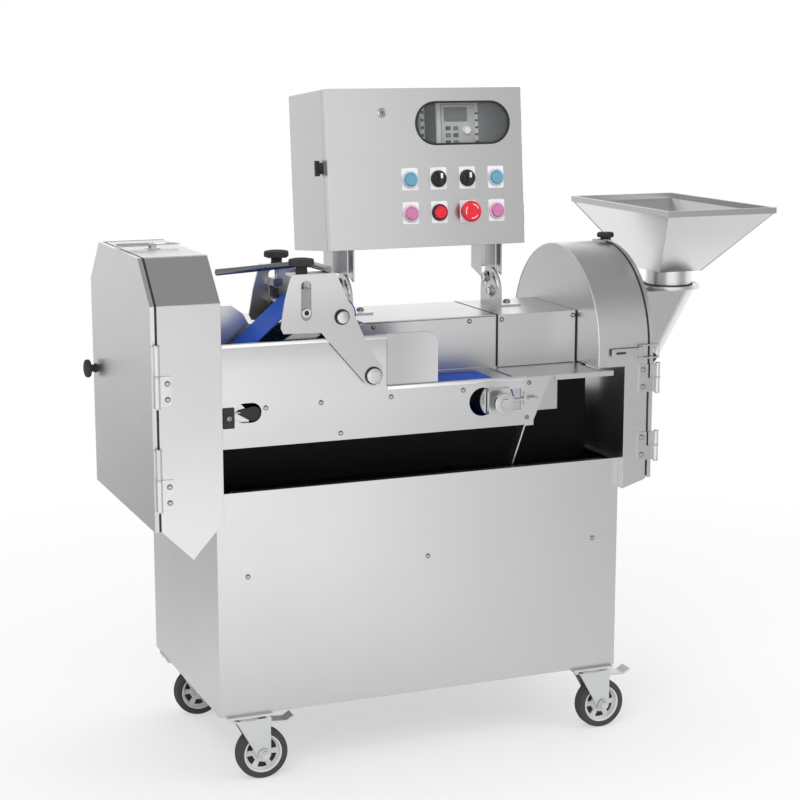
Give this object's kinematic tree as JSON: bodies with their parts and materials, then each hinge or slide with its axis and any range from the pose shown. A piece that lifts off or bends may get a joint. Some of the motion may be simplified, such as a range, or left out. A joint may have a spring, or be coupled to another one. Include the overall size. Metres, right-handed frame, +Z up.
{
  "type": "vegetable cutting machine",
  "caption": "Stainless vegetable cutter on castors: belt-fed knife head at the left, hopper-fed slicing head at the right, tilting control box above.",
  "frame": {"origin": "middle of the machine's bounding box, on the ground under the castor wheels", "axes": "+X to the right along the feed belt, +Y to the back, +Z up; the front panel faces -Y"},
  "size_m": [1.327, 0.54, 1.2857],
  "materials": {
    "black_plastic": "matte",
    "black_rubber": "matte",
    "black_steel": "black paint",
    "blue_belt": "blue food belt",
    "blue_plastic": "lit blue",
    "box_grey": "light grey steel",
    "bright_steel": "smooth, bright",
    "cast_metal": "painted castings",
    "glass": "clear",
    "inverter_grey": "dark grey",
    "pink_plastic": "pink",
    "red_plastic": "red",
    "stainless": "brushed, soft sheen",
    "tyre": "solid black tyre on a grey rim",
    "zinc": "zinc plated"
  },
  "bodies": {
    "base": {"cabinet_shell": "stainless", "front_panel": "stainless", "inner_frame": "black_steel", "castor_plates": "zinc", "left_head_housing": "stainless", "door_gaskets": "black_rubber", "head_fittings": "bright_steel", "conveyor_front_plate": "stainless", "conveyor_bed": "stainless", "feed_belt": "blue_belt", "rear_housing": "stainless", "housing_cover": "stainless", "side_cover": "stainless", "motors": "cast_metal", "right_head_drum": "stainless", "shelf": "stainless", "box_brackets": "stainless"},
    "left_door": {"left_door": "stainless", "left_door_knob": "black_plastic"},
    "left_latch": {"left_latch_lever": "bright_steel"},
    "right_latch": {"right_latch_lever": "bright_steel"},
    "knife": {"sickle_knife": "bright_steel"},
    "drive_roller": {"drive_roller": "bright_steel"},
    "tail_roller": {"tail_roller": "bright_steel"},
    "press_head": {"press_front_plate": "stainless", "press_rear_plate": "stainless", "press_frame": "bright_steel", "press_belt": "blue_belt"},
    "press_nose": {"press_nose_roller": "bright_steel"},
    "press_tension": {"press_tension_roller": "bright_steel"},
    "press_drive": {"press_drive_roller": "bright_steel"},
    "press_adjuster_front": {"press_knob_front": "black_plastic"},
    "press_adjuster_rear": {"press_knob_rear": "black_plastic"},
    "star_knob": {"star_knob": "black_plastic"},
    "slicing_disc": {"slicing_disc": "bright_steel"},
    "right_door": {"right_door": "stainless"},
    "hopper": {"hopper": "stainless"},
    "control_box": {"control_box": "box_grey", "inverter": "inverter_grey"},
    "control_door": {"control_door": "box_grey", "window_pane": "glass"},
    "door_lock": {"door_lock": "black_plastic"},
    "blue_button_left": {"blue_button_left": "blue_plastic"},
    "blue_button_right": {"blue_button_right": "blue_plastic"},
    "pink_button_left": {"pink_button_left": "pink_plastic"},
    "pink_button_right": {"pink_button_right": "pink_plastic"},
    "red_button": {"red_button": "red_plastic"},
    "estop_button": {"estop_button": "red_plastic"},
    "selector_left": {"selector_left": "black_plastic"},
    "selector_right": {"selector_right": "black_plastic"},
    "castor_fork_front_left": {"castor_fork_front_left": "zinc"},
    "castor_wheel_front_left": {"castor_wheel_front_left": "tyre"},
    "castor_fork_front_right": {"castor_fork_front_right": "zinc"},
    "castor_wheel_front_right": {"castor_wheel_front_right": "tyre"},
    "castor_fork_rear_left": {"castor_fork_rear_left": "zinc"},
    "castor_wheel_rear_left": {"castor_wheel_rear_left": "tyre"},
    "castor_fork_rear_right": {"castor_fork_rear_right": "zinc"},
    "castor_wheel_rear_right": {"castor_wheel_rear_right": "tyre"},
    "brake_pedal_front_left": {"brake_pedal_front_left": "zinc"},
    "brake_pedal_front_right": {"brake_pedal_front_right": "zinc"}
  },
  "joints": [
    {"name": "left_door_swing", "type": "hinge", "parent": "base", "child": "left_door", "pos_m": [-0.6325, -0.244, 0.7], "axis": [0, 0, 1], "range_deg": [0, 110]},
    {"name": "left_latch_lift", "type": "hinge", "parent": "base", "child": "left_latch", "pos_m": [-0.5755, -0.015, 1.0045], "axis": [0, -1, 0], "range_deg": [0, 120]},
    {"name": "right_latch_lift", "type": "hinge", "parent": "base", "child": "right_latch", "pos_m": [0.3455, -0.215, 0.778], "axis": [0, 0, 1], "range_deg": [0, 120]},
    {"name": "knife_spin", "type": "hinge", "parent": "base", "child": "knife", "pos_m": [-0.5135, -0.014, 0.755], "axis": [1, 0, 0], "continuous": true},
    {"name": "drive_roller_spin", "type": "hinge", "parent": "base", "child": "drive_roller", "pos_m": [-0.4935, -0.17, 0.706], "axis": [0, 1, 0], "continuous": true},
    {"name": "tail_roller_spin", "type": "hinge", "parent": "base", "child": "tail_roller", "pos_m": [0.0325, -0.17, 0.706], "axis": [0, 1, 0], "continuous": true},
    {"name": "press_head_swing", "type": "hinge", "parent": "base", "child": "press_head", "pos_m": [-0.2245, -0.145, 0.773], "axis": [0, 1, 0], "range_deg": [0, 30]},
    {"name": "press_nose_spin", "type": "hinge", "parent": "press_head", "child": "press_nose", "pos_m": [-0.476, -0.17, 0.7825], "axis": [0, 1, 0], "continuous": true},
    {"name": "press_tension_spin", "type": "hinge", "parent": "press_head", "child": "press_tension", "pos_m": [-0.3535, -0.17, 0.896], "axis": [0, 1, 0], "continuous": true},
    {"name": "press_drive_spin", "type": "hinge", "parent": "press_head", "child": "press_drive", "pos_m": [-0.2855, -0.17, 0.885], "axis": [0, 1, 0], "continuous": true},
    {"name": "press_adjuster_front_turn", "type": "hinge", "parent": "press_head", "child": "press_adjuster_front", "pos_m": [-0.3535, -0.215, 0.966], "axis": [0, 0, 1], "continuous": true},
    {"name": "press_adjuster_rear_turn", "type": "hinge", "parent": "press_head", "child": "press_adjuster_rear", "pos_m": [-0.3535, -0.073, 0.966], "axis": [0, 0, 1], "continuous": true},
    {"name": "star_knob_turn", "type": "hinge", "parent": "base", "child": "star_knob", "pos_m": [0.3705, -0.017, 0.98], "axis": [0, 0, 1], "continuous": true},
    {"name": "slicing_disc_spin", "type": "hinge", "parent": "base", "child": "slicing_disc", "pos_m": [0.3365, -0.017, 0.784], "axis": [1, 0, 0], "continuous": true},
    {"name": "right_door_swing", "type": "hinge", "parent": "base", "child": "right_door", "pos_m": [0.3865, -0.215, 0.656], "axis": [0, 0, 1], "range_deg": [-110, 0]},
    {"name": "hopper_lift", "type": "slide", "parent": "right_door", "child": "hopper", "axis": [0, 0, 1], "range_m": [0, 0.05]},
    {"name": "control_box_tilt", "type": "hinge", "parent": "base", "child": "control_box", "pos_m": [-0.0135, 0.036, 0.878], "axis": [1, 0, 0], "range_deg": [-8, 12]},
    {"name": "control_door_swing", "type": "hinge", "parent": "control_box", "child": "control_door", "pos_m": [0.202, 0.03324, 1.12958], "axis": [0, 0.0924, 0.9957], "range_deg": [0, 105]},
    {"name": "door_lock_turn", "type": "hinge", "parent": "control_box", "child": "door_lock", "pos_m": [-0.2185, 0.05262, 1.13281], "axis": [-1, 0, 0], "range_deg": [0, 90]},
    {"name": "blue_button_left_press", "type": "slide", "parent": "control_door", "child": "blue_button_left", "axis": [0, 0.9957, -0.0924], "range_m": [0, 0.004], "stiffness_N_per_m": 400, "springref_m": -0.002},
    {"name": "blue_button_right_press", "type": "slide", "parent": "control_door", "child": "blue_button_right", "axis": [0, 0.9957, -0.0924], "range_m": [0, 0.004], "stiffness_N_per_m": 400, "springref_m": -0.002},
    {"name": "pink_button_left_press", "type": "slide", "parent": "control_door", "child": "pink_button_left", "axis": [0, 0.9957, -0.0924], "range_m": [0, 0.004], "stiffness_N_per_m": 400, "springref_m": -0.002},
    {"name": "pink_button_right_press", "type": "slide", "parent": "control_door", "child": "pink_button_right", "axis": [0, 0.9957, -0.0924], "range_m": [0, 0.004], "stiffness_N_per_m": 400, "springref_m": -0.002},
    {"name": "red_button_press", "type": "slide", "parent": "control_door", "child": "red_button", "axis": [0, 0.9957, -0.0924], "range_m": [0, 0.004], "stiffness_N_per_m": 400, "springref_m": -0.002},
    {"name": "estop_button_press", "type": "slide", "parent": "control_door", "child": "estop_button", "axis": [0, 0.9957, -0.0924], "range_m": [0, 0.004], "stiffness_N_per_m": 400, "springref_m": -0.002},
    {"name": "selector_left_turn", "type": "hinge", "parent": "control_door", "child": "selector_left", "pos_m": [0.012, 0.00432, 1.11017], "axis": [0, -0.9957, 0.0924], "range_deg": [-45, 45]},
    {"name": "selector_right_turn", "type": "hinge", "parent": "control_door", "child": "selector_right", "pos_m": [0.074, 0.00432, 1.11017], "axis": [0, -0.9957, 0.0924], "range_deg": [-45, 45]},
    {"name": "castor_swivel_front_left", "type": "hinge", "parent": "base", "child": "castor_fork_front_left", "pos_m": [-0.4565, -0.17, 0.11], "axis": [0, 0, 1], "continuous": true},
    {"name": "castor_roll_front_left", "type": "hinge", "parent": "castor_fork_front_left", "child": "castor_wheel_front_left", "pos_m": [-0.4285, -0.17, 0.05], "axis": [0, 1, 0], "continuous": true},
    {"name": "castor_swivel_front_right", "type": "hinge", "parent": "base", "child": "castor_fork_front_right", "pos_m": [0.2665, -0.17, 0.11], "axis": [0, 0, 1], "continuous": true},
    {"name": "castor_roll_front_right", "type": "hinge", "parent": "castor_fork_front_right", "child": "castor_wheel_front_right", "pos_m": [0.2945, -0.17, 0.05], "axis": [0, 1, 0], "continuous": true},
    {"name": "castor_swivel_rear_left", "type": "hinge", "parent": "base", "child": "castor_fork_rear_left", "pos_m": [-0.4715, 0.208, 0.11], "axis": [0, 0, 1], "continuous": true},
    {"name": "castor_roll_rear_left", "type": "hinge", "parent": "castor_fork_rear_left", "child": "castor_wheel_rear_left", "pos_m": [-0.4435, 0.208, 0.05], "axis": [0, 1, 0], "continuous": true},
    {"name": "castor_swivel_rear_right", "type": "hinge", "parent": "base", "child": "castor_fork_rear_right", "pos_m": [0.2665, 0.208, 0.11], "axis": [0, 0, 1], "continuous": true},
    {"name": "castor_roll_rear_right", "type": "hinge", "parent": "castor_fork_rear_right", "child": "castor_wheel_rear_right", "pos_m": [0.2945, 0.208, 0.05], "axis": [0, 1, 0], "continuous": true},
    {"name": "brake_press_front_left", "type": "hinge", "parent": "castor_fork_front_left", "child": "brake_pedal_front_left", "pos_m": [-0.4215, -0.17, 0.1097], "axis": [0, 1, 0], "range_deg": [0, 10]},
    {"name": "brake_press_front_right", "type": "hinge", "parent": "castor_fork_front_right", "child": "brake_pedal_front_right", "pos_m": [0.3015, -0.17, 0.1097], "axis": [0, 1, 0], "range_deg": [0, 10]}
  ],
  "couplings": [
    {"joint": "tail_roller_spin", "follows": "drive_roller_spin", "ratio": 1},
    {"joint": "press_nose_spin", "follows": "drive_roller_spin", "ratio": -1.4167},
    {"joint": "press_tension_spin", "follows": "drive_roller_spin", "ratio": -2},
    {"joint": "press_drive_spin", "follows": "drive_roller_spin", "ratio": -1.0625}
  ]
}
